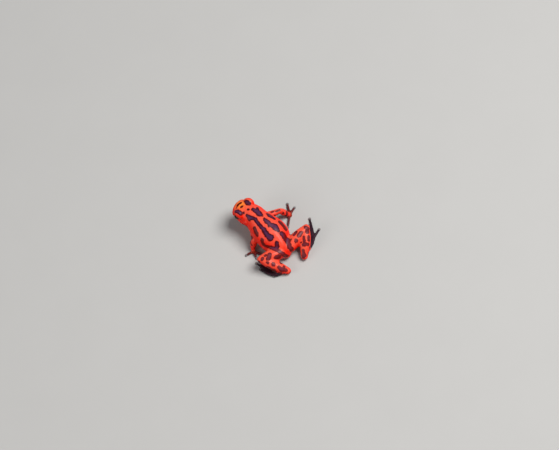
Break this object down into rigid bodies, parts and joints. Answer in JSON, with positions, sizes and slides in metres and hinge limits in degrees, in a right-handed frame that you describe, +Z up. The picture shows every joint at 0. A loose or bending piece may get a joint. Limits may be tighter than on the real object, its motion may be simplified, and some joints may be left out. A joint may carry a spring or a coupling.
{
  "type": "strawberry poison dart frog model",
  "caption": "Life-size still model of a squatting strawberry poison dart frog, resting on its hands, feet and belly, with its head raised and turned a little to its left and its limbs folded or spread as in life",
  "frame": {"origin": "middle of the whole model's footprint, at the level of the surface that it rests on", "axes": "+Z up; the frog faces -Y and its left side is +X"},
  "size_m": [0.0206, 0.0238, 0.0089],
  "materials": {
    "skin": "moist satin",
    "dark_skin": "moist satin",
    "eye": "wet gloss"
  },
  "bodies": {
    "root": {"head": "skin", "torso": "skin", "eye_left": "eye", "eye_right": "eye", "upper_arm_left": "skin", "forearm_left": "skin", "hand_left": "dark_skin", "thigh_left": "skin", "shank_left": "skin", "tarsus_left": "skin", "foot_left": "dark_skin", "upper_arm_right": "skin", "forearm_right": "skin", "hand_right": "dark_skin", "thigh_right": "skin", "shank_right": "skin", "tarsus_right": "skin", "foot_right": "dark_skin"}
  },
  "joints": []
}
